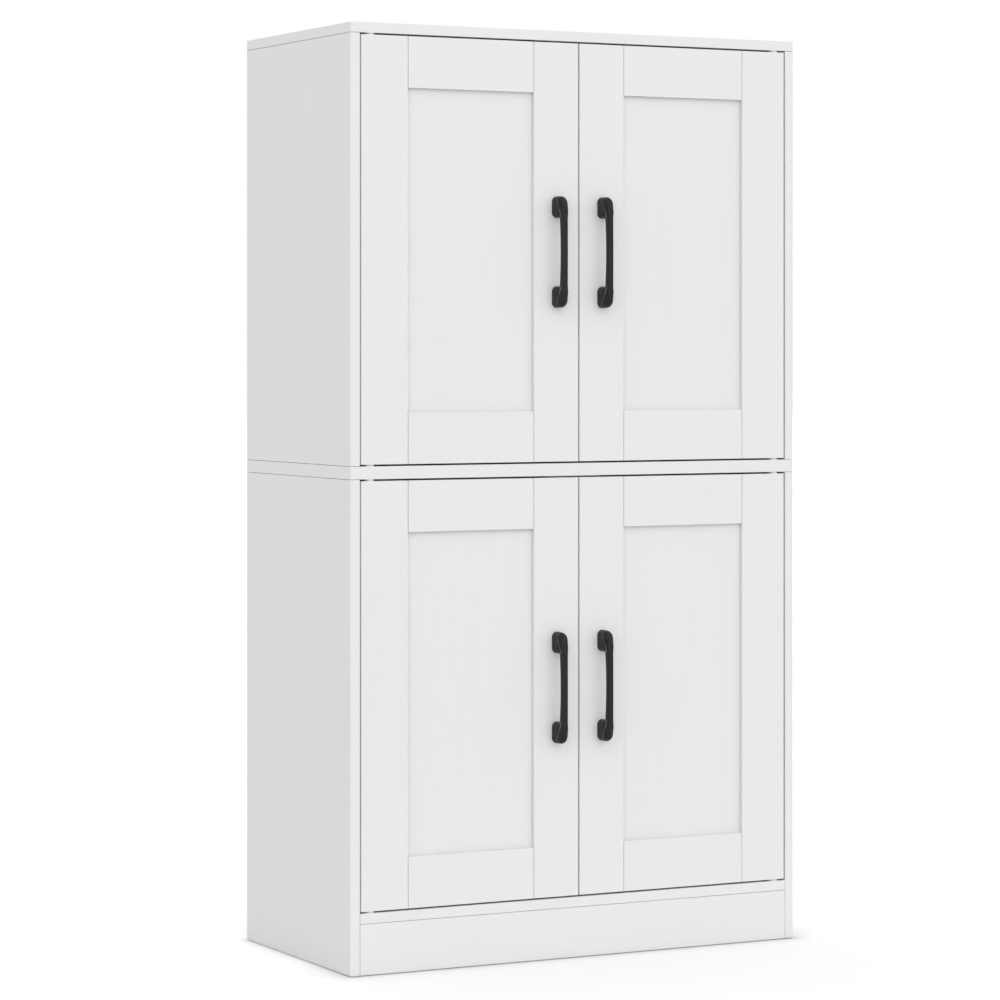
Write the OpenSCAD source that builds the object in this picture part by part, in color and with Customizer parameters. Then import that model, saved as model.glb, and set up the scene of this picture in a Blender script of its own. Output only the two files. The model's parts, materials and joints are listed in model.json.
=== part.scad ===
// Two-tier pantry cabinet with four inset shaker doors on pivot hinges.
// Front faces -Y, +Z is up, origin at floor level in the middle of the whole outline.

/* [Cabinet] */
// Width over the side panels
cab_w = 600; // [480:10:800]
// Depth of the carcass, without the pulls
cab_d = 300; // [280:10:450]
// Height from the floor to the top face
cab_h = 1100; // [960:10:1400]
// Thickness of the top, bottom, side, kick and shelf boards
board_t = 12; // [12:1:16]
// Thickness of the middle board that both tiers share
middle_t = 15; // [15:1:22]
// Height of the kick board under the bottom board
kick_h = 60; // [50:5:90]
// Thickness of the back panels
back_t = 3; // [2.5:0.5:4]
// How far the back panels sit in from the rear edges
back_inset = 6; // [5:1:12]
// Radius on the upright outer corners of the carcass
corner_r = 3; // [0.5:0.5:4]

/* [Doors] */
// Thickness of the door frame
door_t = 15; // [14:1:18]
// Width of the stiles and height of the rails
frame_w = 60; // [50:5:75]
// Depth of the panel's front face behind the frame
recess = 5; // [4:0.5:6]
// Thickness of the loose centre panel
panel_t = 5; // [4:0.5:6]
// Gap beside and between the doors
gap_v = 1.5; // [1.5:0.1:2.5]
// Gap above and below each door
gap_h = 2; // [2:0.1:3]
// How far a door opens, in degrees, drawn closed when 0
open_angle = 0; // [0:5:110]

/* [Pulls] */
// Overall length of a pull
pull_l = 132; // [110:2:180]
// Distance from the door to the front of the grip
pull_reach = 23; // [20:1:32]
// Distance between the two screws of a pull
pull_cc = 96; // [76:2:140]
// Length of each foot
foot_l = 25.5; // [20:0.5:30]
// Width of each foot
foot_w = 12.5; // [10:0.5:16]
// Width of the grip
grip_w = 8; // [6:0.5:10]
// Thickness of the grip at its middle
grip_t = 6.5; // [5:0.5:8]

/* [Shelves] */
// How far the shelves sit behind the front face
shelf_front = 32; // [26:1:80]
// Distance between neighbouring shelf-pin holes
shelf_step = 64; // [32:32:96]

/* [Hidden] */
$fn = 64;
EPS = 0.05;

// Carcass levels and planes
inner_x = cab_w / 2 - board_t;
front_y = (pull_reach - cab_d) / 2;
back_y = front_y + cab_d;
base_z = kick_h + board_t;
bay_h = (cab_h - board_t - middle_t - base_z) / 2;
middle_z = base_z + bay_h;
upper_z = middle_z + middle_t;
top_z = upper_z + bay_h;

// Back panels in their grooves
groove_in = 4;
groove_play = 0.2;
groove_end_play = 0.5;
groove_y = cab_d - back_inset - back_t - groove_play;

// Doors
door_w = inner_x - 1.5 * gap_v;
door_h = bay_h - 2 * gap_h;
door_edge_r = 1.5;
door_groove_in = 10;
tongue_l = 9.5;
panel_play = 0.1;
sight_w = door_w - 2 * frame_w;
sight_h = door_h - 2 * frame_w;

// Pivot hinges: a nylon pivot in the door turns in a nylon bush in the board
pivot_in = 13;
pivot_back = 6.5;
pivot_r = 2.45;
pivot_play = 0.05;
pivot_l = 5;
pivot_reach = gap_h + pivot_l - 0.5;
plug_r = 4;
plug_l = 22;
bush_l = 6.5;
flange_r = 6;
flange_t = 0.8;

// Pull details
shoulder_r = 12;
foot_h = 12;
grip_bow_r = 400;
grip_corner_r = 1.5;
pull_screw_r = 2;
pull_screw_in = 9;
pull_screw_head_r = 4;
pull_screw_head_t = 2.4;

// Cam connectors and dowels
cam_r = 7.5;
cam_t = 10;
cam_reach = 24;
cam_slot = 2;
bolt_thread_r = 2.5;
bolt_thread_l = 6.5;
bolt_shank_r = 2;
bolt_head_r = 3;
bolt_head_t = 3;
bolt_hole_r = 3.4;
cam_cross_l = 10;
cam_cross_d = 1.5;
dowel_r = 3;
dowel_in = 6;
dowel_out = 18;
dowel_chamfer = 1;
dowel_tip_r = 2.2;
dowel_end_play = 1;
drill_play = 0.05;
upper_cams = [45, cab_d - 45];
lower_cams = [62, cab_d - 62];
upper_dowels = [85, cab_d - 85];
lower_dowels = [104, cab_d - 104];

// Shelf pins
pin_r = 2.5;
pin_in = 8;
pin_rows = [70, 240];
pad_l = 6.5;
pad_w = 12;
pad_t = 1.5;
shelf_play = 2;
shelf_d = groove_y - shelf_front - shelf_play;

// Magnetic catches
catch_w = 72;
catch_d = 16;
catch_h = 16;
catch_ear_t = 3;
catch_ear_w = 12;
magnet = [15, 14, 6];
magnet_x = 15;
magnet_drop = 9.5;
strike = [16, 1.2, 11];
strike_gap = 0.3;
strike_spike_r = 1.2;
strike_spike_l = 8;
catch_y = door_t + strike[1] + strike_gap;
small_screw_r = 1.6;
small_screw_l = 8;
small_head_r = 3.2;
small_head_t = 1.6;
small_screw_play = 0.2;
screw_end_play = 1;

// Wall bracket
bracket_w = 40;
bracket_leg = 22;
bracket_t = 1.5;
bracket_hole_r = 2.5;
bracket_screw_x = 12;
bracket_screw_back = 13.2;
driver_hole_r = 4;

WHITE = [0.93, 0.93, 0.93];
BACKING = [0.88, 0.88, 0.87];
NYLON = [0.96, 0.96, 0.94];
BLACK = [0.11, 0.11, 0.12];
STEEL = [0.72, 0.73, 0.75];
ZINC = [0.60, 0.61, 0.63];
MAGNET = [0.25, 0.25, 0.27];
BEECH = [0.82, 0.66, 0.45];

// Each door: [name, side (-1 left, 1 right), level of the bay's floor]
DOORS = [
    ["upper_left", -1, upper_z],
    ["upper_right", 1, upper_z],
    ["lower_left", -1, base_z],
    ["lower_right", 1, base_z]
];

DOOR_PARTS = [
    "hinge_stile", "meeting_stile", "top_rail", "bottom_rail", "panel",
    "pivots", "pull", "pull_screws", "strike_plate"
];

CARCASS_PARTS = [
    "top_board", "middle_board", "bottom_board", "kick_board",
    "upper_side_left", "upper_side_right", "lower_side_left", "lower_side_right",
    "upper_back_panel", "lower_back_panel", "upper_shelf", "lower_shelf",
    "shelf_pins", "cam_bolts", "cam_locks", "dowels", "hinge_bushes",
    "catch_housings", "catch_magnets", "catch_screws", "wall_bracket", "bracket_screws"
];

// ---------------------------------------------------------------- helpers

// Rectangle from the origin, with the corners at both ends of its +X edge rounded
module outer_rounded(w, d, r) {
    square([w - r, d]);
    translate([0, r]) square([w, d - 2 * r]);
    for (y = [r, d - r]) translate([w - r, y]) circle(r);
}

// Full-width board with all four upright corners rounded
module full_board(t) {
    linear_extrude(t) for (s = [0, 1]) mirror([s, 0]) outer_rounded(cab_w / 2, cab_d, corner_r);
}

// Places a child drawn with Y from the front face, on the given floor level
module at_front(z) {
    translate([0, front_y, z]) children();
}

// Places a child drawn with X outward from the inner face of a side panel
module at_side(side, z) {
    translate([side * inner_x, front_y, z]) mirror([side < 0 ? 1 : 0, 0, 0]) children();
}

// Round-headed screw pointing along +Z, head below Z = 0
module screw(r, l, head_r, head_t) {
    cylinder(r = r, h = l);
    translate([0, 0, -head_t]) cylinder(r1 = head_r * 0.75, r2 = head_r, h = head_t);
}

// Where a door on the given side turns
function pivot_x(side) = side * (inner_x - gap_v - pivot_in);

// ---------------------------------------------------------------- connectors
// A connector's own frame has +Z into the board that holds the cam, and +X out of the cam's mouth.

// Fixings between an upright side and a level board: dir is 1 upward, -1 downward
function upright_fixings(ys, z, dir) = [
    for (s = [-1, 1]) for (y = ys)
        [
            [s * (inner_x + board_t / 2), front_y + y, z],
            dir > 0 ? [0, 0, s > 0 ? 180 : 0] : (s > 0 ? [0, 180, 0] : [180, 0, 0])
        ]
];

// Fixings from the sides into the ends of the bottom board, cams underneath
function bottom_fixings(ys) = [
    for (s = [-1, 1]) for (y = ys)
        [[s * inner_x, front_y + y, kick_h + board_t / 2], [0, 90, s > 0 ? 180 : 0]]
];

// Fixings from the sides into the ends of the kick board, cams behind
function kick_fixings(z) = [
    for (s = [-1, 1]) [[s * inner_x, front_y + board_t / 2, z], [-90 * s, 0, 90]]
];

top_cams = upright_fixings(upper_cams, top_z, -1);
middle_up_cams = upright_fixings(upper_cams, upper_z, 1);
middle_down_cams = upright_fixings(lower_cams, middle_z, -1);
bottom_cams = bottom_fixings(lower_cams);
kick_cams = kick_fixings(kick_h / 3);
top_dowels = upright_fixings(upper_dowels, top_z, -1);
middle_up_dowels = upright_fixings(upper_dowels, upper_z, 1);
middle_down_dowels = upright_fixings(lower_dowels, middle_z, -1);
bottom_dowels = bottom_fixings(lower_dowels);
kick_dowels = kick_fixings(kick_h * 2 / 3);
all_cams = concat(top_cams, middle_up_cams, middle_down_cams, bottom_cams, kick_cams);
all_dowels = concat(top_dowels, middle_up_dowels, middle_down_dowels, bottom_dowels, kick_dowels);

module at_fixings(list) {
    for (f = list) translate(f[0]) rotate(f[1]) children();
}

module cam_bolt() {
    translate([0, 0, -bolt_thread_l]) cylinder(r = bolt_thread_r, h = bolt_thread_l);
    cylinder(r = bolt_shank_r, h = cam_reach);
    translate([0, 0, cam_reach + 1 - bolt_head_t]) cylinder(r = bolt_head_r, h = bolt_head_t);
}

module cam_lock() {
    difference() {
        translate([board_t / 2 - cam_t, 0, cam_reach]) rotate([0, 90, 0]) cylinder(r = cam_r, h = cam_t);
        translate([0, 0, cam_reach - cam_r - EPS]) cylinder(r = bolt_hole_r, h = cam_r + 2);
        for (a = [45, 135])
            translate([board_t / 2, 0, cam_reach]) rotate([a, 0, 0])
                cube([2 * cam_cross_d, cam_cross_l, cam_slot], center = true);
    }
}

module dowel() {
    body = dowel_in + dowel_out - 2 * dowel_chamfer;
    translate([0, 0, -dowel_in]) {
        cylinder(r1 = dowel_tip_r, r2 = dowel_r, h = dowel_chamfer);
        translate([0, 0, dowel_chamfer]) cylinder(r = dowel_r, h = body);
        translate([0, 0, dowel_chamfer + body]) cylinder(r1 = dowel_r, r2 = dowel_tip_r, h = dowel_chamfer);
    }
}

// Holes in the board whose face or edge takes the bolts and dowels
module fixing_holes(cams, dowels) {
    at_fixings(cams) translate([0, 0, -bolt_thread_l])
        cylinder(r = bolt_thread_r, h = bolt_thread_l + EPS);
    at_fixings(dowels) translate([0, 0, -dowel_in - dowel_end_play])
        cylinder(r = dowel_r + drill_play, h = dowel_in + dowel_end_play + EPS);
}

// Holes and pockets in the board whose end takes the cams
module cam_holes(cams, dowels) {
    at_fixings(cams) {
        translate([0, 0, -EPS]) cylinder(r = bolt_hole_r, h = cam_reach);
        translate([board_t / 2 - cam_t, 0, cam_reach]) rotate([0, 90, 0])
            cylinder(r = cam_r + drill_play, h = cam_t + EPS);
    }
    at_fixings(dowels) translate([0, 0, -EPS])
        cylinder(r = dowel_r + drill_play, h = dowel_out + dowel_end_play);
}

module cam_bolts() color(STEEL) at_fixings(all_cams) cam_bolt();
module cam_locks() color(ZINC) at_fixings(all_cams) cam_lock();
module dowels() color(BEECH) at_fixings(all_dowels) dowel();

// ---------------------------------------------------------------- carcass

// Bush holes in a board's face at level z, drilled upward (dir 1) or downward (dir -1)
module bush_holes(z, dir) {
    for (s = [-1, 1])
        translate([pivot_x(s), front_y + pivot_back, z]) mirror([0, 0, dir < 0 ? 1 : 0])
            translate([0, 0, -EPS]) cylinder(r = plug_r, h = bush_l + EPS);
}

// Groove for a back panel in a level board's face, from level z into the board
module back_groove(z, dir) {
    translate([-inner_x - groove_in, front_y + groove_y, z - (dir > 0 ? EPS : groove_in)])
        cube([2 * (inner_x + groove_in), back_t + groove_play, groove_in + EPS]);
}

// Blind pilot holes upward into a board whose underside is at level z, either side of the middle
module pilot_holes(x, y, z) {
    for (s = [-1, 1]) translate([s * x, y, z - EPS]) cylinder(r = small_screw_r, h = small_screw_l);
}

module top_board() color(WHITE) difference() {
    at_front(top_z) full_board(board_t);
    fixing_holes(top_cams, top_dowels);
    bush_holes(top_z, 1);
    back_groove(top_z, 1);
    pilot_holes(catch_screw_x, catch_screw_y, top_z);
    pilot_holes(bracket_screw_x, bracket_screw_y, top_z);
}

module middle_board() color(WHITE) difference() {
    at_front(middle_z) full_board(middle_t);
    fixing_holes(middle_up_cams, middle_up_dowels);
    fixing_holes(middle_down_cams, middle_down_dowels);
    bush_holes(middle_z, 1);
    bush_holes(upper_z, -1);
    back_groove(middle_z, 1);
    back_groove(upper_z, -1);
    pilot_holes(catch_screw_x, catch_screw_y, middle_z);
}

module bottom_board() color(WHITE) difference() {
    at_front(kick_h) translate([-inner_x, 0, 0]) cube([2 * inner_x, cab_d, board_t]);
    cam_holes(bottom_cams, bottom_dowels);
    bush_holes(base_z, -1);
    back_groove(base_z, -1);
}

module kick_board() color(WHITE) difference() {
    at_front(0) translate([-inner_x, 0, 0]) cube([2 * inner_x, board_t, kick_h]);
    cam_holes(kick_cams, kick_dowels);
}

// Shelf-pin holes of one bay, in the frame of at_side
module pin_holes(h) {
    for (y = pin_rows) for (k = [-1, 0, 1])
        translate([-EPS, y, h / 2 + k * shelf_step]) rotate([0, 90, 0])
            cylinder(r = pin_r, h = pin_in + EPS);
}

module side_panel(side, z, h, bay_floor) {
    at_side(side, z) difference() {
        linear_extrude(h) outer_rounded(board_t, cab_d, corner_r);
        translate([0, 0, bay_floor - z]) pin_holes(bay_h);
        translate([-EPS, groove_y, -EPS]) cube([groove_in + EPS, back_t + groove_play, h + 2 * EPS]);
    }
}

module upper_side(side) color(WHITE) difference() {
    side_panel(side, upper_z, bay_h, upper_z);
    cam_holes(concat(top_cams, middle_up_cams), concat(top_dowels, middle_up_dowels));
}

module lower_side(side) color(WHITE) difference() {
    side_panel(side, 0, middle_z, base_z);
    cam_holes(middle_down_cams, middle_down_dowels);
    fixing_holes(concat(bottom_cams, kick_cams), concat(bottom_dowels, kick_dowels));
}

module back_panel(z) {
    tongue = groove_in - groove_end_play;
    translate([-inner_x - tongue, front_y + groove_y + groove_play / 2, z - tongue])
        cube([2 * (inner_x + tongue), back_t, bay_h + 2 * tongue]);
}

module upper_back_panel() color(BACKING) difference() {
    back_panel(upper_z);
    translate([0, back_y, bracket_hole_z]) rotate([90, 0, 0])
        cylinder(r = driver_hole_r, h = back_inset + 2 * back_t);
}

module lower_back_panel() color(BACKING) back_panel(base_z);

// ---------------------------------------------------------------- shelves

function shelf_z(z) = z + bay_h / 2 + pin_r;

module shelf(z) color(WHITE)
    at_front(shelf_z(z)) translate([-inner_x + shelf_play / 2, shelf_front, 0])
        cube([2 * inner_x - shelf_play, shelf_d, board_t]);

module upper_shelf() shelf(upper_z);
module lower_shelf() shelf(base_z);

module shelf_pin() {
    translate([0, 0, -pin_r]) rotate([0, 90, 0]) cylinder(r = pin_r, h = pin_in);
    translate([-pad_l, -pad_w / 2, -pad_t]) cube([pad_l, pad_w, pad_t]);
    translate([-pad_t, -pad_w / 2, -pad_w]) cube([pad_t, pad_w, pad_w]);
}

module shelf_pins() color(STEEL)
    for (z = [upper_z, base_z]) for (s = [-1, 1]) for (y = pin_rows)
        at_side(s, shelf_z(z)) translate([0, y, 0]) shelf_pin();

// ---------------------------------------------------------------- pivot hinges

module bush() {
    difference() {
        union() {
            cylinder(r = plug_r, h = bush_l);
            translate([0, 0, -flange_t]) cylinder(r = flange_r, h = flange_t);
        }
        translate([0, 0, -flange_t - EPS]) cylinder(r = pivot_r + pivot_play, h = pivot_l + flange_t);
    }
}

module hinge_bushes() color(NYLON)
    for (s = [-1, 1]) for (z = [base_z, upper_z]) {
        translate([pivot_x(s), front_y + pivot_back, z + bay_h]) bush();
        translate([pivot_x(s), front_y + pivot_back, z]) mirror([0, 0, 1]) bush();
    }

// ---------------------------------------------------------------- catches

catch_screw_x = (catch_w - catch_ear_w) / 2;
catch_screw_y = front_y + catch_y + catch_d / 2;

module catch_housing() {
    difference() {
        union() {
            translate([-catch_w / 2, 0, -catch_ear_t]) cube([catch_w, catch_d, catch_ear_t]);
            translate([catch_ear_w - catch_w / 2, 0, -catch_h])
                cube([catch_w - 2 * catch_ear_w, catch_d, catch_h]);
        }
        for (s = [-1, 1]) {
            translate([s * magnet_x - magnet[0] / 2, -EPS, -magnet_drop - magnet[2] / 2])
                cube([magnet[0], magnet[1] + EPS, magnet[2]]);
            translate([s * catch_screw_x, catch_d / 2, -catch_ear_t - EPS])
                cylinder(r = small_screw_r + small_screw_play, h = catch_ear_t + 2 * EPS);
        }
    }
}

module at_catches() {
    for (z = [middle_z, top_z]) at_front(z) translate([0, catch_y, 0]) children();
}

module catch_housings() color(NYLON) at_catches() catch_housing();

module catch_magnets() color(MAGNET) at_catches()
    for (s = [-1, 1])
        translate([s * magnet_x - magnet[0] / 2, 0, -magnet_drop - magnet[2] / 2]) cube(magnet);

module catch_screws() color(STEEL) at_catches()
    for (s = [-1, 1]) translate([s * catch_screw_x, catch_d / 2, -catch_ear_t])
        screw(small_screw_r, small_screw_l + catch_ear_t - screw_end_play, small_head_r, small_head_t);

// ---------------------------------------------------------------- wall bracket

bracket_y = front_y + groove_y + groove_play / 2;
bracket_hole_z = top_z - bracket_leg / 2 - bracket_t;
bracket_screw_y = bracket_y - bracket_screw_back;

module wall_bracket() color(STEEL) difference() {
    union() {
        translate([-bracket_w / 2, bracket_y - bracket_leg, top_z - bracket_t])
            cube([bracket_w, bracket_leg, bracket_t]);
        translate([-bracket_w / 2, bracket_y - bracket_t, top_z - bracket_leg])
            cube([bracket_w, bracket_t, bracket_leg]);
    }
    translate([0, bracket_y + EPS, bracket_hole_z]) rotate([90, 0, 0])
        cylinder(r = bracket_hole_r, h = bracket_t + 2 * EPS);
    for (s = [-1, 1]) translate([s * bracket_screw_x, bracket_screw_y, top_z - bracket_t - EPS])
        cylinder(r = small_screw_r + small_screw_play, h = bracket_t + 2 * EPS);
}

module bracket_screws() color(STEEL)
    for (s = [-1, 1]) translate([s * bracket_screw_x, bracket_screw_y, top_z - bracket_t])
        screw(small_screw_r, small_screw_l + bracket_t - screw_end_play, small_head_r, small_head_t);

// ---------------------------------------------------------------- doors
// A door's own frame has X from its hinge edge, Y from its front face and Z from its foot.

module at_door(d) {
    translate([pivot_x(d[1]), front_y + pivot_back, d[2] + gap_h])
        rotate([0, 0, d[1] * open_angle])
            mirror([d[1] > 0 ? 1 : 0, 0, 0]) translate([-pivot_in, -pivot_back, 0]) children();
}

module stile_blank() {
    linear_extrude(door_h) translate([frame_w, 0]) mirror([1, 0])
        outer_rounded(frame_w, door_t, door_edge_r);
}

// Groove for the panel and the rails' tongues, along a stile's inner edge
module stile_groove() {
    translate([frame_w - door_groove_in, recess, -EPS])
        cube([door_groove_in + EPS, panel_t + 2 * panel_play, door_h + 2 * EPS]);
}

module hinge_stile() color(WHITE) difference() {
    stile_blank();
    stile_groove();
    for (z = [-EPS, door_h - plug_l]) translate([pivot_in, pivot_back, z])
        cylinder(r = plug_r, h = plug_l + EPS);
}

module meeting_stile() color(WHITE) difference() {
    translate([door_w, 0, 0]) mirror([1, 0, 0]) difference() {
        stile_blank();
        stile_groove();
    }
    for (z = [-pull_cc / 2, pull_cc / 2]) translate([pull_x, -EPS, door_h / 2 + z]) rotate([-90, 0, 0])
        cylinder(r = pull_screw_r + small_screw_play, h = door_t + 2 * EPS);
    translate([strike_x, door_t - strike_spike_l, strike_z]) rotate([-90, 0, 0])
        cylinder(r = strike_spike_r, h = strike_spike_l + EPS);
}

// Rail with a tongue at each end; its panel groove is in the top face of this blank
module rail() {
    difference() {
        translate([frame_w, 0, 0]) cube([sight_w, door_t, frame_w]);
        translate([frame_w - EPS, recess, frame_w - door_groove_in])
            cube([sight_w + 2 * EPS, panel_t + 2 * panel_play, door_groove_in + EPS]);
    }
    for (x = [frame_w - tongue_l, frame_w + sight_w])
        translate([x, recess + panel_play, 0]) cube([tongue_l, panel_t, frame_w - door_groove_in]);
}

module bottom_rail() color(WHITE) rail();
module top_rail() color(WHITE) translate([0, 0, door_h]) mirror([0, 0, 1]) rail();

module panel() color(WHITE)
    translate([frame_w - tongue_l, recess + panel_play, frame_w - tongue_l])
        cube([sight_w + 2 * tongue_l, panel_t, sight_h + 2 * tongue_l]);

// Nylon pivot: plug in the door, flange on its edge, journal above it
module pivot() {
    translate([0, 0, -plug_l]) cylinder(r = plug_r, h = plug_l);
    cylinder(r = flange_r, h = flange_t);
    cylinder(r = pivot_r, h = pivot_reach);
}

module pivots() color(NYLON) translate([pivot_in, pivot_back, 0]) {
    translate([0, 0, door_h]) pivot();
    mirror([0, 0, 1]) pivot();
}

// ---------------------------------------------------------------- pulls

pull_x = door_w - frame_w / 2;
strike_x = door_w + gap_v / 2 - magnet_x;
strike_z = door_h + gap_h - magnet_drop;

// Side view of a pull: X along its length, Y out from the door
module pull_side_view() {
    half = pull_l / 2;
    open_half = half - foot_l;
    back = pull_reach - grip_t;
    difference() {
        union() {
            translate([-half, 0]) square([pull_l, pull_reach - shoulder_r]);
            translate([shoulder_r - half, 0]) square([pull_l - 2 * shoulder_r, pull_reach]);
            for (s = [-1, 1]) translate([s * (half - shoulder_r), pull_reach - shoulder_r])
                circle(shoulder_r);
        }
        intersection() {
            translate([0, back - grip_bow_r]) circle(grip_bow_r, $fn = 360);
            union() {
                translate([-open_half, -1]) square([2 * open_half, back - grip_corner_r + 1]);
                translate([grip_corner_r - open_half, -1])
                    square([2 * (open_half - grip_corner_r), back + 1]);
                for (s = [-1, 1]) translate([s * (open_half - grip_corner_r), back - grip_corner_r])
                    circle(grip_corner_r);
            }
        }
    }
}

// Front view of a pull: broad round ends that taper into the narrow grip
module pull_front_view() {
    end = pull_l / 2 - foot_w / 2;
    neck = pull_l / 2 - foot_l - grip_w / 2;
    square([pull_l - foot_w, grip_w], center = true);
    for (s = [-1, 1]) mirror([s < 0 ? 1 : 0, 0]) {
        translate([end, 0]) circle(foot_w / 2);
        polygon([[end, -foot_w / 2], [end, foot_w / 2], [neck, grip_w / 2], [neck, -grip_w / 2]]);
    }
}

// Front view of one foot, from its outer end at X = 0
module foot_view() {
    for (x = [foot_w / 2, foot_l - foot_w / 2]) translate([x, 0]) circle(foot_w / 2);
    translate([foot_w / 2, -foot_w / 2]) square([foot_l - foot_w, foot_w]);
}

// Pull lying along X with its feet on the plane Z = 0
module pull_flat() {
    difference() {
        union() {
            intersection() {
                rotate([90, 0, 0]) translate([0, 0, -foot_w / 2])
                    linear_extrude(foot_w) pull_side_view();
                linear_extrude(pull_reach) pull_front_view();
            }
            for (s = [0, 1]) mirror([s, 0, 0]) translate([-pull_l / 2, 0, 0])
                linear_extrude(foot_h) foot_view();
        }
        for (x = [-pull_cc / 2, pull_cc / 2]) translate([x, 0, -EPS])
            cylinder(r = pull_screw_r, h = pull_screw_in + EPS);
    }
}

module pull() color(BLACK)
    translate([pull_x, 0, door_h / 2]) rotate([90, 0, 0]) rotate([0, 0, 90]) pull_flat();

module pull_screws() color(STEEL)
    for (z = [-pull_cc / 2, pull_cc / 2]) translate([pull_x, door_t, door_h / 2 + z]) rotate([90, 0, 0])
        screw(pull_screw_r, door_t + pull_screw_in - screw_end_play, pull_screw_head_r, pull_screw_head_t);

module strike_plate() color(STEEL) {
    translate([strike_x - strike[0] / 2, door_t, strike_z - strike[2] / 2]) cube(strike);
    translate([strike_x, door_t - strike_spike_l, strike_z]) rotate([-90, 0, 0])
        cylinder(r = strike_spike_r, h = strike_spike_l + EPS);
}

// ---------------------------------------------------------------- drawing

top_board();
middle_board();
bottom_board();
kick_board();
upper_side(-1);  // upper_side_left
upper_side(1);  // upper_side_right
lower_side(-1);  // lower_side_left
lower_side(1);  // lower_side_right
upper_back_panel();
lower_back_panel();
upper_shelf();
lower_shelf();
shelf_pins();
cam_bolts();
cam_locks();
dowels();
hinge_bushes();
catch_housings();
catch_magnets();
catch_screws();
wall_bracket();
bracket_screws();

for (d = DOORS) {
    at_door(d) hinge_stile();
    at_door(d) meeting_stile();
    at_door(d) top_rail();
    at_door(d) bottom_rail();
    at_door(d) panel();
    at_door(d) pivots();
    at_door(d) pull();
    at_door(d) pull_screws();
    at_door(d) strike_plate();
}
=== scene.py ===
"""White two-tier pantry cabinet with four shaker doors, in a plain studio.

Lengths are in metres, except in the section on pulls, which works in millimetres.
"""
import json
import math

import bmesh
import bpy
from mathutils import Matrix, Vector


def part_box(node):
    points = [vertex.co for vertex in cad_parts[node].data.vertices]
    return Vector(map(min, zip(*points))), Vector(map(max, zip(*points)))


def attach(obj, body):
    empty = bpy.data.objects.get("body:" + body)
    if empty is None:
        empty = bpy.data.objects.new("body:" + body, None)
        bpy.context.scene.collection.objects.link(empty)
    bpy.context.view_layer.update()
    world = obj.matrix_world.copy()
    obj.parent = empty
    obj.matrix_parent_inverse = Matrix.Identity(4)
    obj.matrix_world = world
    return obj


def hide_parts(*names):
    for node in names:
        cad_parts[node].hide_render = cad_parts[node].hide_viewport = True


MM = 0.001
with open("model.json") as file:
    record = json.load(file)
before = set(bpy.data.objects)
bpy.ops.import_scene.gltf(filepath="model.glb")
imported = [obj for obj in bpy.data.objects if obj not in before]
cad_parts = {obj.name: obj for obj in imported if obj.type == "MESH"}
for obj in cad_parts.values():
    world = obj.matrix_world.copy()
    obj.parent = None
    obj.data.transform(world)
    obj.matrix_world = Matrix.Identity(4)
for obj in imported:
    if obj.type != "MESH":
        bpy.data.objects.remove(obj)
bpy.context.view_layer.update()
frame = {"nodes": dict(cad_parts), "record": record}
footprint = (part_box("lower_side_left")[0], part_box("lower_side_right")[1])

RECORD = frame["record"]
NODE_SLOT = {s["node"]: s["material_slot"] for s in RECORD["subparts"]}
NODE_BODY = {n: b for b, members in RECORD["behaviour"]["bodies"].items() for n in members}
DOORS = ("upper_left", "upper_right", "lower_left", "lower_right")


# ---------------------------------------------------------------- small helpers


def smoothstep(a, b, x):
    """0 up to a, 1 from b, and a smooth rise between them."""
    t = min(1.0, max(0.0, (x - a) / (b - a)))
    return t * t * (3 - 2 * t)


def mix(a, b, t):
    """From a, at t = 0, to b, at t = 1."""
    return a + (b - a) * t


def new_piece(name, bm, materials):
    """An object made from a bmesh, with its materials."""
    mesh = bpy.data.meshes.new(name)
    bm.normal_update()
    bm.to_mesh(mesh)
    bm.free()
    piece = bpy.data.objects.new(name, mesh)
    bpy.context.scene.collection.objects.link(piece)
    for material in materials:
        mesh.materials.append(material)
    return piece


def stands_for(piece, node):
    """Puts a piece in the place of one CAD node."""
    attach(piece, NODE_BODY[node])
    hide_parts(node)


def smooth_shading(piece, sharp_degrees=40):
    """Smooth faces, except across edges that turn by more than the given angle."""
    bm = bmesh.new()
    bm.from_mesh(piece.data)
    for face in bm.faces:
        face.smooth = True
    for edge in bm.edges:
        edge.smooth = not edge.is_manifold or edge.calc_face_angle(0) < math.radians(sharp_degrees)
    bm.to_mesh(piece.data)
    bm.free()
    normals = piece.modifiers.new("Flat faces stay flat", "WEIGHTED_NORMAL")
    normals.mode = "FACE_AREA"
    normals.keep_sharp = True


# ---------------------------------------------------------------- materials


NOISE_LOW, NOISE_HIGH = 0.3, 0.7
# Faces tagged in this layer get rubbed wear on laminate and a painted highlight on the pulls' coating.
EDGE_LAYER = "eased_edge"
MIX_COLOUR_INPUTS = slice(6, 8)
MIX_COLOUR_OUTPUT = 2


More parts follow.
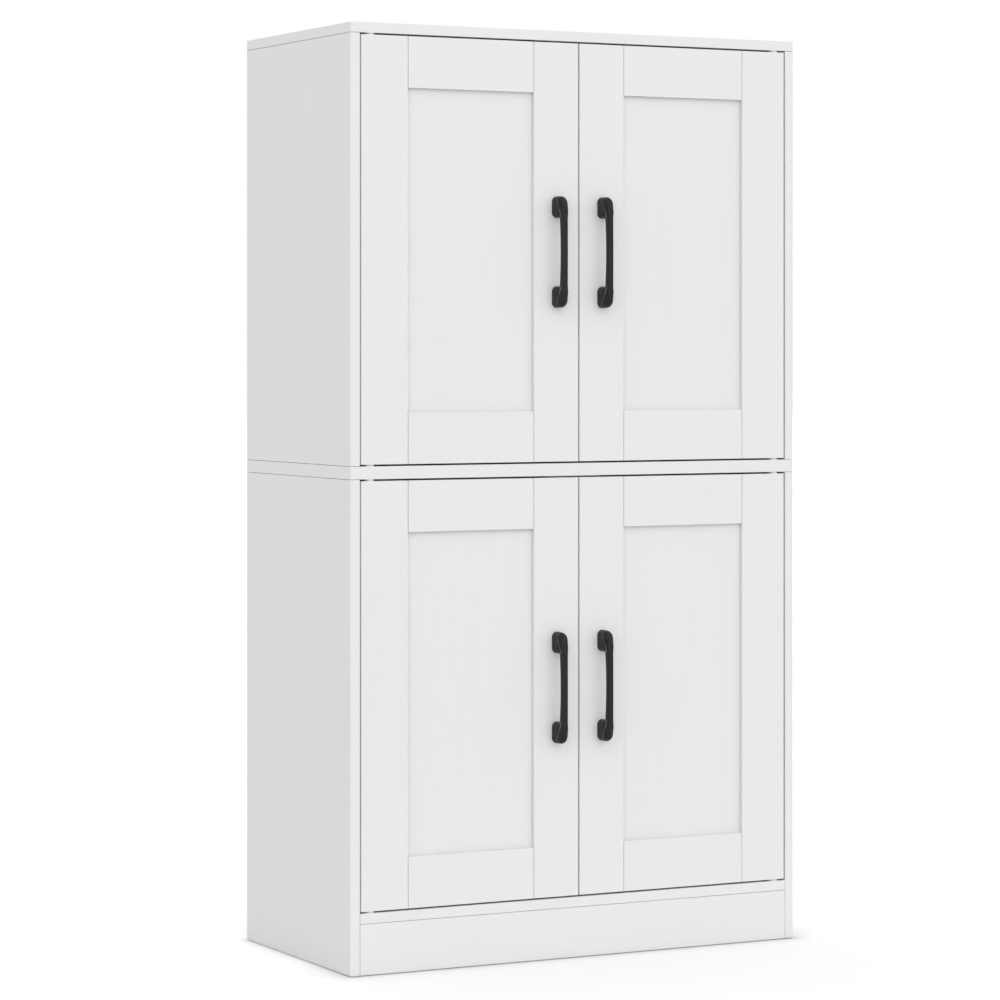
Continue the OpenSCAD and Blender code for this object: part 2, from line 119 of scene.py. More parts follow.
class Graph:
    """A material's node tree, with one call for each node."""

    def __init__(self, name):
        self.material = bpy.data.materials.new(name)
        self.material.use_nodes = True
        self.tree = self.material.node_tree
        self.tree.nodes.clear()
        self.shader = self.add("ShaderNodeBsdfPrincipled")
        output = self.add("ShaderNodeOutputMaterial")
        self.tree.links.new(self.shader.outputs[0], output.inputs[0])

    def add(self, kind, **settings):
        node = self.tree.nodes.new(kind)
        for key, value in settings.items():
            setattr(node, key, value)
        return node

    def link(self, source, target):
        self.tree.links.new(source, target)

    def place(self):
        """Object coordinates, in metres."""
        return self.add("ShaderNodeTexCoord").outputs["Object"]

    def noise(self, scale, detail=2.0, roughness=0.5, distortion=0.0):
        """Noise with so many lumps to the metre: one number, or one for each axis."""
        mapping = self.add("ShaderNodeMapping")
        mapping.inputs["Scale"].default_value = scale if isinstance(scale, tuple) else (scale,) * 3
        self.link(self.place(), mapping.inputs["Vector"])
        noise = self.add("ShaderNodeTexNoise")
        noise.inputs["Scale"].default_value = 1.0
        noise.inputs["Detail"].default_value = detail
        noise.inputs["Roughness"].default_value = roughness
        noise.inputs["Distortion"].default_value = distortion
        self.link(mapping.outputs[0], noise.inputs["Vector"])
        return noise.outputs["Fac"]

    def span(self, value, low, high, to_low=0.0, to_high=1.0):
        """Maps low..high onto to_low..to_high, clamped."""
        span = self.add("ShaderNodeMapRange")
        self.link(value, span.inputs["Value"])
        ends = {"From Min": low, "From Max": high, "To Min": to_low, "To Max": to_high}
        for socket, number in ends.items():
            span.inputs[socket].default_value = number
        return span.outputs[0]

    def spread(self, noise, to_low=0.0, to_high=1.0):
        """A noise's usual range, onto to_low..to_high."""
        return self.span(noise, NOISE_LOW, NOISE_HIGH, to_low, to_high)

    def math(self, operation, *values):
        """One step of arithmetic on outputs or numbers."""
        node = self.add("ShaderNodeMath", operation=operation)
        for socket, value in zip(node.inputs, values):
            if isinstance(value, (int, float)):
                socket.default_value = value
            else:
                self.link(value, socket)
        return node.outputs[0]

    def colour(self, fac, low, high):
        """A colour between low and high, which are colours or outputs."""
        blend = self.add("ShaderNodeMix", data_type="RGBA")
        self.link(fac, blend.inputs["Factor"])
        for socket, value in zip(blend.inputs[MIX_COLOUR_INPUTS], (low, high)):
            if hasattr(value, "is_output"):
                self.link(value, socket)
            else:
                socket.default_value = (*value, 1.0)
        return blend.outputs[MIX_COLOUR_OUTPUT]

    def bump(self, height, depth, strength=0.5):
        """Relief of a depth in metres."""
        bump = self.add("ShaderNodeBump")
        bump.inputs["Distance"].default_value = depth
        bump.inputs["Strength"].default_value = strength
        self.link(height, bump.inputs["Height"])
        return bump.outputs[0]

    def edge_wear_and_highlight(self, least=0.0):
        """From least to 1, by a noise, on faces tagged in the edge layer, and 0 elsewhere: rubbed wear on
        eased edges, and a painted highlight along the pulls' creases.
        """
        attribute = self.add("ShaderNodeAttribute", attribute_name=EDGE_LAYER)
        patches = self.span(self.noise(90, detail=3.0), 0.35, 0.75, least)
        return self.math("MULTIPLY", attribute.outputs["Fac"], patches)

    def set(self, **values):
        """Sets the shader's own sockets, whose names have _ for spaces, and returns the material."""
        for key, value in values.items():
            socket = self.shader.inputs[key.replace("_", " ")]
            if hasattr(value, "is_output"):
                self.link(value, socket)
            elif isinstance(value, tuple):
                socket.default_value = (*value, 1.0)
            else:
                socket.default_value = value
        return self.material


X_AXIS, Z_AXIS = 0, 2
BLACK = (0, 0, 0)
WHITE_LAMINATE = 0.72
WHITE_PAINT = 0.69
WHITE_NYLON = 0.77
EMBOSSING = 0.06 * MM
PANEL_EMBOSSING = 1.8 * EMBOSSING
# Painted shade along a door's panel where it meets the frame: its fade inward and its depth.
PANEL_FADE = 3.5 * MM
PANEL_SHADE = 0.07


def along_grain(axis, across, along):
    """Noise scale for a texture that is stretched along one axis."""
    return tuple(along if i == axis else across for i in range(3))


def tinted(tone, *colour):
    """A colour that is the given fractions of one grey tone."""
    return tuple(tone * c for c in colour)


def painted_border_shade(g, door, fade):
    """Painted shade: from 1 where a door's panel meets its frame to 0 further in, over the given fade."""
    low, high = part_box(f"{door}_panel")
    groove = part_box(f"{door}_hinge_stile")[1].x - low.x
    across = g.add("ShaderNodeSeparateXYZ")
    g.link(g.add("ShaderNodeTexCoord").outputs["Generated"], across.inputs[0])
    inward = []
    for axis, size in (("X", high.x - low.x), ("Z", high.z - low.z)):
        off_middle = g.math("ABSOLUTE", g.math("SUBTRACT", across.outputs[axis], 0.5))
        inward.append(g.math("MULTIPLY", g.math("SUBTRACT", 0.5, off_middle), size))
    nearest = g.math("MAXIMUM", g.math("SUBTRACT", g.math("MINIMUM", *inward), groove), 0.0)
    return g.math("EXPONENT", g.math("DIVIDE", nearest, -fade))


def laminate(name, axis, tone, relief=EMBOSSING, framed_in=None):
    """White wood-effect laminate: a faint figure, fine embossed pores, slightly rubbed edges, and painted
    shade along a panel's frame when framed_in names a door.
    """
    g = Graph(name)
    figure = g.noise(along_grain(axis, 34.0, 2.4), detail=4.0, roughness=0.55, distortion=1.6)
    pores = g.noise(along_grain(axis, 1500.0, 34.0), detail=3.0, roughness=0.6, distortion=0.4)
    streaks = g.noise(along_grain(axis, 420.0, 7.0), distortion=0.6)
    pits = g.span(pores, 0.30, 0.46)
    bands = g.span(streaks, 0.35, 0.65)
    figured = g.math("MULTIPLY", g.span(figure, 0.35, 0.65), bands)
    base = g.colour(figured, tinted(tone, 0.978, 0.978, 0.977), (tone, tone, tone))
    rubbed = g.math("MULTIPLY", g.edge_wear_and_highlight(), 0.5)
    wear_and_painted_light = g.colour(rubbed, base, tinted(tone, 0.94, 0.94, 0.94))
    # Painted shade: the panel darkens where it meets its frame.
    if framed_in:
        painted_shade = g.math("MULTIPLY", painted_border_shade(g, framed_in, PANEL_FADE), PANEL_SHADE)
        wear_and_painted_light = g.colour(painted_shade, wear_and_painted_light, BLACK)
    height = g.math("ADD", g.math("MULTIPLY", pits, 0.7), g.math("MULTIPLY", bands, 0.3))
    rough = g.span(g.math("ADD", figure, pores), 0.7, 1.3, 0.40, 0.52)
    return g.set(
        Base_Color=wear_and_painted_light, Roughness=rough, Normal=g.bump(height, relief), Specular_IOR_Level=0.42,
    )


def backing(name, tone):
    """Painted hardboard: an even fine pebble with a trace of the fibres."""
    g = Graph(name)
    fibres = g.noise(260, detail=4.0, roughness=0.7, distortion=0.3)
    clouds = g.spread(g.noise(9, detail=3.0))
    return g.set(
        Base_Color=g.colour(clouds, tinted(tone, 0.965, 0.96, 0.95), tinted(tone, 1, 1, 0.99)),
        Roughness=g.spread(fibres, 0.6, 0.75),
        Normal=g.bump(fibres, 0.08 * MM),
        Specular_IOR_Level=0.35,
    )


def moulded_plastic(name, tone):
    """White nylon with a faint sheen and the soft grain of a moulding."""
    g = Graph(name)
    grain = g.noise(2600)
    clouds = g.spread(g.noise(120))
    return g.set(
        Base_Color=g.colour(clouds, tinted(tone, 0.975, 0.972, 0.955), tinted(tone, 1, 1, 0.98)),
        Roughness=g.spread(grain, 0.36, 0.48),
        Normal=g.bump(grain, 0.02 * MM, strength=0.4),
    )


def powder_coat(name):
    """Satin black coating with a fine orange peel, greyer along the pulls' creases: a painted highlight,
    partly rubbed edges.
    """
    g = Graph(name)
    peel = g.noise(1900, roughness=0.45)
    clouds = g.noise(70, detail=3.0)
    base = g.colour(g.spread(clouds), (0.0065, 0.0065, 0.007), (0.0095, 0.0095, 0.0098))
    # The greyer tagged faces are a painted highlight along the creases, partly rubbed edges.
    return g.set(
        Base_Color=g.colour(g.edge_wear_and_highlight(0.45), base, (0.115, 0.115, 0.116)),
        Roughness=g.spread(clouds, 0.42, 0.54),
        Normal=g.bump(peel, 0.03 * MM),
        Specular_IOR_Level=0.28,
    )


def plated_metal(name, tone, rough, relief):
    """Bright plated steel, or a rougher die casting."""
    g = Graph(name)
    drawn = g.noise((900, 900, 60), detail=3.0, roughness=0.6)
    skin = g.noise(1100, detail=4.0, roughness=0.65)
    return g.set(
        Base_Color=g.colour(g.spread(skin), tinted(tone, 0.90, 0.905, 0.92), tinted(tone, 1, 1, 1.01)),
        Metallic=1.0,
        Roughness=g.spread(drawn, rough, rough + 0.14),
        Normal=g.bump(skin, relief),
    )


def ferrite(name):
    """Sintered magnet: dark, dull and slightly speckled."""
    g = Graph(name)
    speckle = g.noise(1800, detail=4.0, roughness=0.7)
    return g.set(
        Base_Color=g.colour(g.span(speckle, 0.35, 0.7), (0.030, 0.030, 0.033), (0.075, 0.075, 0.08)),
        Roughness=g.spread(speckle, 0.55, 0.7),
        Normal=g.bump(speckle, 0.05 * MM),
    )


def beech(name):
    """Fluted beech dowel stock: warm, with short dark flecks along the grain."""
    g = Graph(name)
    flecks = g.noise((1600, 260, 260), detail=3.0, roughness=0.6)
    return g.set(
        Base_Color=g.colour(g.span(flecks, 0.35, 0.65), (0.42, 0.27, 0.14), (0.62, 0.44, 0.26)),
        Roughness=g.spread(flecks, 0.55, 0.7),
        Normal=g.bump(flecks, 0.08 * MM),
    )


level_laminate = laminate("Laminate with level grain", X_AXIS, WHITE_LAMINATE)
upright_laminate = laminate("Laminate with upright grain", Z_AXIS, WHITE_LAMINATE)
# The panels' laminate has painted shade along their frames, sized from the upper left door.
panel_laminate = laminate(
    "Embossed panel laminate", Z_AXIS, WHITE_LAMINATE, relief=PANEL_EMBOSSING, framed_in="upper_left",
)
SLOT_MATERIAL = {
    "white_board": upright_laminate,
    "white_panel": panel_laminate,
    "white_backing": backing("Painted hardboard", WHITE_PAINT),
    "white_nylon": moulded_plastic("White nylon", WHITE_NYLON),
    "black_metal": powder_coat("Satin black coating"),
    "plated_steel": plated_metal("Plated steel", tone=0.66, rough=0.24, relief=0.02 * MM),
    "zinc": plated_metal("Zinc casting", tone=0.55, rough=0.36, relief=0.1 * MM),
    "magnet": ferrite("Ferrite"),
    "beech": beech("Beech"),
}
LEVEL_GRAIN = ("top_board", "middle_board", "bottom_board", "kick_board", "upper_shelf", "lower_shelf")


def material_of(node):
    if node in LEVEL_GRAIN or node.endswith("_rail"):
        return level_laminate
    return SLOT_MATERIAL[NODE_SLOT[node]]


# ---------------------------------------------------------------- pieces that follow their CAD shape


MERGE = 1e-6
NO_SLACK = (0.0, 0.0, 0.0)
FLAT_TURN = math.radians(0.5)
EDGE_TURN = math.radians(40)
FACET_TURN = math.radians(30)
HOLLOW_TURN = -0.01
EDGE_SEGMENTS = 2


def is_bore_rim(edge):
    """True for an edge round a hole, whose wall is hollow rather than rounded outward."""
    return any(
        other is not edge and other.is_manifold and other.calc_face_angle_signed(0) < HOLLOW_TURN
        for vert in edge.verts
        for other in vert.link_edges
        if abs(other.calc_face_angle(0)) < FACET_TURN
    )


def draw_in(bm, low_slack, high_slack):
    """Draws a piece's faces in by a little on each side, which leaves a fine line at its joints."""
    low = Vector([min(v.co[i] for v in bm.verts) for i in range(3)])
    high = Vector([max(v.co[i] for v in bm.verts) for i in range(3)])
    for vert in bm.verts:
        for i in range(3):
            t = (vert.co[i] - low[i]) / (high[i] - low[i])
            vert.co[i] += mix(low_slack[i], -high_slack[i], t)


def eased(node, width, low_slack=NO_SLACK, high_slack=NO_SLACK):
    """The CAD solid with clean faces and eased edges, as a new piece in its place."""
    bm = bmesh.new()
    bm.from_mesh(frame["nodes"][node].data)
    bmesh.ops.remove_doubles(bm, verts=bm.verts, dist=MERGE)
    bmesh.ops.dissolve_limit(bm, angle_limit=FLAT_TURN, verts=bm.verts, edges=bm.edges)
    draw_in(bm, low_slack, high_slack)
    bm.normal_update()
    wear_and_painted_light = bm.faces.layers.float.new(EDGE_LAYER)
    edges = [
        e for e in bm.edges
        if e.is_manifold and e.calc_face_angle_signed(0) > EDGE_TURN and not is_bore_rim(e)
    ]
    made = bmesh.ops.bevel(
        bm, geom=edges, offset=width, offset_type="OFFSET", segments=EDGE_SEGMENTS, profile=0.5,
        affect="EDGES", clamp_overlap=False,
    )
    for face in made["faces"]:
        face[wear_and_painted_light] = 1.0
    piece = new_piece(f"eased_{node}", bm, [material_of(node)])
    smooth_shading(piece)
    stands_for(piece, node)


CARCASS_EDGE = 0.6 * MM
DOOR_EDGE = 0.35 * MM
SMALL_EDGE = 0.15 * MM
JOINT = 0.28 * MM
RAIL_JOINT = 0.6 * MM
FOOT_GAP = 0.6 * MM

for level_board in ("top_board", "middle_board", "upper_shelf", "lower_shelf"):
    eased(level_board, CARCASS_EDGE)
for side in ("left", "right"):
    eased(f"upper_side_{side}", CARCASS_EDGE, (0, 0, JOINT), (0, 0, JOINT))
    eased(f"lower_side_{side}", CARCASS_EDGE, (0, 0, FOOT_GAP), (0, 0, JOINT))
eased("bottom_board", CARCASS_EDGE, (JOINT, 0, 0), (JOINT, 0, 0))
eased("kick_board", CARCASS_EDGE, (JOINT, 0, FOOT_GAP), (JOINT, 0, JOINT))
for door in DOORS:
    for part in ("hinge_stile", "meeting_stile", "panel"):
        eased(f"{door}_{part}", DOOR_EDGE)
    for part in ("top_rail", "bottom_rail"):
        eased(f"{door}_{part}", DOOR_EDGE, (RAIL_JOINT, 0, 0), (RAIL_JOINT, 0, 0))
    eased(f"{door}_strike_plate", SMALL_EDGE)
for small_node in ("catch_housings", "wall_bracket", "shelf_pins"):
    eased(small_node, 2 * SMALL_EDGE)
KEPT_NODES = (
    "cam_bolts", "cam_locks", "dowels", "hinge_bushes", "catch_magnets",
    "upper_back_panel", "lower_back_panel", *(f"{door}_pivots" for door in DOORS),
)
for kept in KEPT_NODES:
    frame["nodes"][kept].data.materials.clear()
    frame["nodes"][kept].data.materials.append(material_of(kept))


# ---------------------------------------------------------------- pulls
# Lengths in millimetres: z is along the pull from its middle, a the same without its sign, v out
# from the door and x across it. A pull's half length and its reach from the door come from its CAD box.

FOOT_L = 25.5
FOOT_W = 12.5
FOOT_RIM = 0.35
GRIP_W = 7.9
GRIP_T = 6.4
GRIP_BOW = 400.0
SHOULDER = 12.0
CREASE_OUTER = 9.5
CREASE_IN = 1.3
SHOULDER_L = 22.0
DOME_START = 24.0
NECK_START = FOOT_L + 1
NECK_END = 9.0
LEDGE = 0.15
LEAST_DOME = 0.2
LEAST_BACK = 0.4
WALL_DROP = 0.35
WALL_EASE = 0.4
LEDGE_SLOPE = 0.9
LEDGE_MOST = 2.2
TUCK = 0.3
SIDE_SQUARENESS = 5.0
BACK_SQUARENESS = 4.0
DOME_SQUARENESS = 2.0
SECTION_POINTS = 48
ARCH_STEPS = 140
FOOT_TURNS = 24
FOOT_STEPS = 8


def stadium_half_width(a, half):
    """Half width of a foot's outline at the distance a from the pull's middle."""
    r = FOOT_W / 2
    outer = max(0.0, a - (half - r))
    inner = max(0.0, (half - FOOT_L + r) - a)
    return math.sqrt(max(0.0, r * r - max(outer, inner) ** 2))


def grip_back(a, reach):
    """How far the back of the grip stands out from the door: it bows away from it."""
    return reach - GRIP_T - a * a / (2 * GRIP_BOW)


def crease(a, half, reach):
    """Level of the edge between a foot's side and the rounded shoulder above it."""
    start = half - SHOULDER_L
    inner = grip_back(min(a, start), reach) + CREASE_IN
    if a <= start:
        return inner
    fall = math.cos(math.pi / 2 * min(1.0, (a - start) / SHOULDER_L))
    return mix(CREASE_OUTER, inner, fall)


def strap_half_width(a, half):
    """Half width of the strap: the foot's at its outer end, narrowing to the grip's."""
    wide = mix(GRIP_W / 2, FOOT_W / 2, smoothstep(half - NECK_START, half - NECK_END, a))
    if a > half - FOOT_W / 2:
        wide = min(wide, stadium_half_width(a + LEDGE, half))
    return wide - LEDGE


def power(value, exponent):
    """Shapes a sine or cosine so that a ring turns from round, at 2, towards square."""
    return math.copysign(abs(value) ** (2 / exponent), value)


def strap_section(z, half, reach):
    """Ring of points round the strap at one place along it: square in the grip, domed at the feet."""
    a = abs(z)
    wide = strap_half_width(a, half)
    rise = max(0.0, (a - (half - SHOULDER)) / SHOULDER)
    crest = reach - SHOULDER + SHOULDER * math.sqrt(max(0.0, 1 - rise * rise))
    back = grip_back(min(a, half - FOOT_L + 1), reach)
    edge = min(crease(a, half, reach), crest - LEAST_DOME)
    back = min(back, edge - LEAST_BACK)
    front_power = mix(SIDE_SQUARENESS, DOME_SQUARENESS, smoothstep(half - DOME_START, half - SHOULDER, a))
    ring = []
    for k in range(SECTION_POINTS):
        t = 2 * math.pi * k / SECTION_POINTS
        if math.sin(t) >= 0:
            x = wide * power(math.cos(t), front_power)
            v = edge + (crest - edge) * power(math.sin(t), front_power)
        else:
            x = wide * power(math.cos(t), BACK_SQUARENESS)
            v = edge + (edge - back) * power(math.sin(t), BACK_SQUARENESS)
        ring.append((x, v))
    return ring


def arch(half, reach):
    """The grip and its two shoulders, as one closed skin of rings."""
    bm = bmesh.new()
    wear_and_painted_light = bm.faces.layers.float.new(EDGE_LAYER)
    places = [(half - LEDGE) * math.sin(math.pi * (i / ARCH_STEPS - 0.5)) for i in range(1, ARCH_STEPS)]
    rings = [
        [bm.verts.new((x * MM, -v * MM, z * MM)) for x, v in strap_section(z, half, reach)]
        for z in places
    ]
    side = (0, SECTION_POINTS // 2 - 1)
    for z, a, b in zip(places, rings, rings[1:]):
        for k in range(SECTION_POINTS):
            n = (k + 1) % SECTION_POINTS
            face = bm.faces.new((a[k], a[n], b[n], b[k]))
            # Faces beside the crease on the feet are tagged for the coating's painted highlight.
            face[wear_and_painted_light] = 1.0 if k in side and abs(z) > half - FOOT_L else 0.0
    bm.faces.new(rings[0][::-1])
    bm.faces.new(rings[-1])
    bmesh.ops.recalc_face_normals(bm, faces=bm.faces)
    return bm


def foot(half, reach, side):
    """One foot: upright walls on a round-ended outline, closed under the strap."""
    bm = bmesh.new()
    bm.faces.layers.float.new(EDGE_LAYER)
    r = FOOT_W / 2
    inner_centre = half - FOOT_L + r
    outer_centre = half - r
    quarter = [math.pi / 2 * k / FOOT_TURNS for k in range(FOOT_TURNS + 1)]
    right = [(r * math.sin(t), outer_centre + r * math.cos(t), math.sin(t), math.cos(t)) for t in quarter]
    right += [(r, mix(outer_centre, inner_centre, k / FOOT_STEPS), 1.0, 0.0) for k in range(1, FOOT_STEPS)]
    right += [(r * math.cos(t), inner_centre - r * math.sin(t), math.cos(t), -math.sin(t)) for t in quarter]
    levels = []
    for x, z, nx, nz in right:
        strap = strap_half_width(z, half)
        top = crease(z, half, reach)
        ledge = max(0.0, x - strap)
        wall = top - WALL_DROP - LEDGE_SLOPE * min(ledge, LEDGE_MOST)
        tucked = max(0.0, min(x, strap) - TUCK)
        # One column up the foot: its rounded rim, its wall, and a ledge that ends inside the strap.
        levels.append([
            (x - nx * FOOT_RIM, z - nz * FOOT_RIM, 0.0),
            (x - nx * FOOT_RIM * 0.3, z - nz * FOOT_RIM * 0.3, FOOT_RIM * 0.3),
            (x, z, FOOT_RIM),
            (x, z, wall - WALL_EASE),
            (x - nx * 0.12, z - nz * 0.12, wall),
            (mix(x, tucked, 0.5), z - nz * TUCK, mix(wall, top, 0.62)),
            (tucked, z - nz * 0.5, top - 0.1),
        ])
    stacks = [
        [
            [bm.verts.new((flip * x * MM, -v * MM, side * z * MM)) for x, z, v in column]
            for column in levels
        ]
        for flip in (1, -1)
    ]
    for stack in stacks:
        for a, b in zip(stack, stack[1:]):
            for i in range(len(a) - 1):
                bm.faces.new((a[i], b[i], b[i + 1], a[i + 1]))
    for i in (0, -1):
        for k in range(len(levels) - 1):
            bm.faces.new((stacks[0][k][i], stacks[1][k][i], stacks[1][k + 1][i], stacks[0][k + 1][i]))
    bmesh.ops.remove_doubles(bm, verts=bm.verts, dist=MERGE)
    bmesh.ops.recalc_face_normals(bm, faces=bm.faces)
    return bm


def evaluated_mesh(piece):
    """The piece's mesh with its modifiers applied, as new mesh data."""
    bpy.context.view_layer.update()
    return bpy.data.meshes.new_from_object(piece.evaluated_get(bpy.context.evaluated_depsgraph_get()))


def united(base, others):
    """Adds closed pieces to a piece, leaving one closed mesh."""
    for other in others:
        union = base.modifiers.new("Union", "BOOLEAN")
        union.operation = "UNION"
        union.solver = "EXACT"
        union.object = other
    mesh = evaluated_mesh(base)
    bm = bmesh.new()
    bm.from_mesh(mesh)
    bmesh.ops.remove_doubles(bm, verts=bm.verts, dist=2 * MERGE)
    bmesh.ops.dissolve_degenerate(bm, edges=bm.edges, dist=2 * MERGE)
    bm.to_mesh(mesh)
    bm.free()
    base.modifiers.clear()
    base.data = mesh
    for other in others:
        bpy.data.objects.remove(other)


def make_pull(door):
    """Replaces one door's pull with an arch on two feet, sized by the CAD node's box."""
    node = f"{door}_pull"
    low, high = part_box(node)
    half = (high.z - low.z) / 2 / MM
    reach = (high.y - low.y) / MM
    pull = new_piece(f"arch_{node}", arch(half, reach), [material_of(node)])
    feet = [new_piece(f"foot_{node}_{side}", foot(half, reach, side), []) for side in (-1, 1)]
    united(pull, feet)
    pull.data.transform(Matrix.Translation(((low.x + high.x) / 2, high.y, (low.z + high.z) / 2)))
    smooth_shading(pull, sharp_degrees=35)
    stands_for(pull, node)


for door in DOORS:
    make_pull(door)


# ---------------------------------------------------------------- screws


# The last seven are fractions of the head's or shank's size, and PLAIN_END is in thread pitches.
LATHE_TURNS = 32
DOME_STEPS = 8
FIRST_SPIN = 0.4
NEXT_SPIN = 1.1
CUTTER_RISE = 0.3 * MM
PLAIN_END = 1.5
HEAD_WALL = 0.35
THREAD_ROOT = 0.82
THREAD_PITCH = 0.7
RECESS_SIZE = 0.55
RECESS_DEPTH = 0.85
RECESS_MOUTH = (1.0, 0.22)
RECESS_BOTTOM = (0.45, 0.16)


def lathe(profile):
    """A closed solid of revolution about Z from (radius, height) points, ends on the axis."""
    bm = bmesh.new()
    turns = [2 * math.pi * k / LATHE_TURNS for k in range(LATHE_TURNS)]
    rings = []
    for r, h in profile:
        if r == 0:
            rings.append([bm.verts.new((0, 0, h))])
        else:
            rings.append([bm.verts.new((r * math.cos(t), r * math.sin(t), h)) for t in turns])
    for a, b in zip(rings, rings[1:]):
        for k in range(LATHE_TURNS):
            n = (k + 1) % LATHE_TURNS
            corners = [a[k % len(a)], a[n % len(a)], b[n % len(b)], b[k % len(b)]]
            corners = [v for i, v in enumerate(corners) if v not in corners[:i]]
            bm.faces.new(corners)
    bmesh.ops.recalc_face_normals(bm, faces=bm.faces)
    return bm


def cross_cutter(size, depth):
    """Tapered cross that cuts a screw's drive recess, mouth at Z = 0 and pointing up."""
    bm = bmesh.new()
    corners = ((-1, -1), (1, -1), (1, 1), (-1, 1))
    for quarter in (0, math.pi / 2):
        spin = Matrix.Rotation(quarter, 4, "Z")
        rings = [
            [bm.verts.new(spin @ Vector((sx * size * wide, sy * size * thick, z))) for sx, sy in corners]
            for (wide, thick), z in ((RECESS_MOUTH, -CUTTER_RISE), (RECESS_BOTTOM, depth))
        ]
        bm.faces.new(rings[0][::-1])
        bm.faces.new(rings[1])
        for k in range(4):
            n = (k + 1) % 4
            bm.faces.new((rings[0][k], rings[0][n], rings[1][n], rings[1][k]))
    bmesh.ops.recalc_face_normals(bm, faces=bm.faces)
    return bm


def screw(name, shank_r, shank_l, head_r, head_t, material):
    """Pan-head screw with a cross recess, head from Z = -head_t to 0 and its shank up +Z."""
    dome = [
        (head_r * math.cos(t), -head_t * (HEAD_WALL + (1 - HEAD_WALL) * math.sin(t)))
        for t in [math.pi / 2 * (1 - k / DOME_STEPS) for k in range(1, DOME_STEPS + 1)]
    ]
    profile = [(0.0, -head_t)] + dome + [(head_r, 0.0), (shank_r, 0.0)]
    root_r = shank_r * THREAD_ROOT
    pitch = shank_r * THREAD_PITCH
    turns = int((shank_l - 2 * PLAIN_END * pitch) / pitch)
    for k in range(turns):
        start = (PLAIN_END + k) * pitch
        profile += [(root_r, start), (shank_r, start + pitch * 0.5)]
    profile += [(root_r, shank_l - pitch), (0.0, shank_l)]
    piece = new_piece(name, lathe(profile), [material])
    cutter = new_piece(f"{name}_cutter", cross_cutter(head_r * RECESS_SIZE, head_t * RECESS_DEPTH), [])
    cutter.data.transform(Matrix.Translation((0, 0, -head_t)))
    cut = piece.modifiers.new("Recess", "BOOLEAN")
    cut.operation = "DIFFERENCE"
    cut.solver = "EXACT"
    cut.use_self = True
    cut.object = cutter
    piece.data = evaluated_mesh(piece)
    piece.modifiers.clear()
    bpy.data.objects.remove(cutter)
    return piece


def shell_boxes(node):
    """The box of each separate solid of a CAD node, as (low, high) pairs."""
    bm = bmesh.new()
    bm.from_mesh(frame["nodes"][node].data)
    bmesh.ops.remove_doubles(bm, verts=bm.verts, dist=MERGE)
    left = set(bm.verts)
    boxes = []
    while left:
        stack = [left.pop()]
        found = []
        while stack:
            vert = stack.pop()
            found.append(vert.co.copy())
            for edge in vert.link_edges:
                other = edge.other_vert(vert)
                if other in left:
                    left.remove(other)
                    stack.append(other)
        low = Vector([min(c[i] for c in found) for i in range(3)])
        high = Vector([max(c[i] for c in found) for i in range(3)])
        boxes.append((low, high))
    bm.free()
    return sorted(boxes, key=lambda b: tuple(b[0]))


def joined(name, parts):
    """Joins objects that hold one material into one piece."""
    bm = bmesh.new()
    material = parts[0].data.materials[0]
    for part in parts:
        bm.from_mesh(part.data)
        bpy.data.objects.remove(part)
    return new_piece(name, bm, [material])


def make_screws(node, axis, head_r, head_t, shank_r):
    """Replaces a node of plain screws: axis is the direction in which their shanks point."""
    parts = []
    for low, high in shell_boxes(node):
        whole = abs((high - low).dot(axis))
        name = f"screw_{node}_{len(parts)}"
        part = screw(name, shank_r, whole - head_t, head_r, head_t, material_of(node))
        head_face = (low + high) / 2 - axis * (whole / 2 - head_t)
        turn = Vector((0, 0, 1)).rotation_difference(axis).to_matrix().to_4x4()
        spin = Matrix.Rotation(FIRST_SPIN + NEXT_SPIN * len(parts), 4, "Z")
        part.data.transform(Matrix.Translation(head_face) @ turn @ spin)
        parts.append(part)
    piece = joined(f"screws_{node}", parts)
    smooth_shading(piece, sharp_degrees=30)
    stands_for(piece, node)


for door in DOORS:
    make_screws(
        f"{door}_pull_screws", Vector((0, -1, 0)), head_r=4.0 * MM, head_t=2.4 * MM, shank_r=2.0 * MM,
    )
for small_node in ("catch_screws", "bracket_screws"):
    make_screws(small_node, Vector((0, 0, 1)), head_r=3.2 * MM, head_t=1.6 * MM, shank_r=1.6 * MM)


# ---------------------------------------------------------------- studio


# The floor's tone for the camera is lighter than for the light that it throws back, and near the cabinet it
# throws back more: painted light.
# A painted glow, seen only by the camera, whitens the floor all round but is left off in front, where a
# pool of soft shade shows, and a painted contact shadow makes a dark line where the cabinet stands.
ROOM_LOW = 0.925
ROOM_HIGH = 1.025
KEY_LIGHT = 1.232
KEY_AZIMUTH = math.radians(-14)
KEY_ELEVATION = math.radians(20)
KEY_SPREAD = math.radians(82)
FLOOR_HALF_M = 30.0
FLOOR_TONE = 0.907
# Painted light: the floor throws back more light near the cabinet than further off.
NEAR_BOUNCE = 0.78
FLOOR_BOUNCE = 0.68
BOUNCE_NEAR_M = 0.1
BOUNCE_FAR_M = 0.5
# The pool left without painted glow in front, the glow's reach and strength, and the painted contact
# shadow's depth and reach.
POOL_DEPTH = 0.3
PAINTED_GLOW_REACH = 0.12
FLOOR_PAINTED_GLOW = 0.16
CONTACT_SHADE = 0.33
CONTACT_REACH = 9 * MM


def make_key_light():
    """One soft light: its azimuth is from the front towards +X."""
    light = bpy.data.lights.new("Key", "SUN")
    light.energy = KEY_LIGHT
    light.angle = KEY_SPREAD
    lamp = bpy.data.objects.new("Key", light)
    level = math.cos(KEY_ELEVATION)
    towards = Vector((
        math.sin(KEY_AZIMUTH) * level, -math.cos(KEY_AZIMUTH) * level, math.sin(KEY_ELEVATION),
    ))
    lamp.rotation_euler = towards.to_track_quat("Z", "Y").to_euler()
    bpy.context.scene.collection.objects.link(lamp)


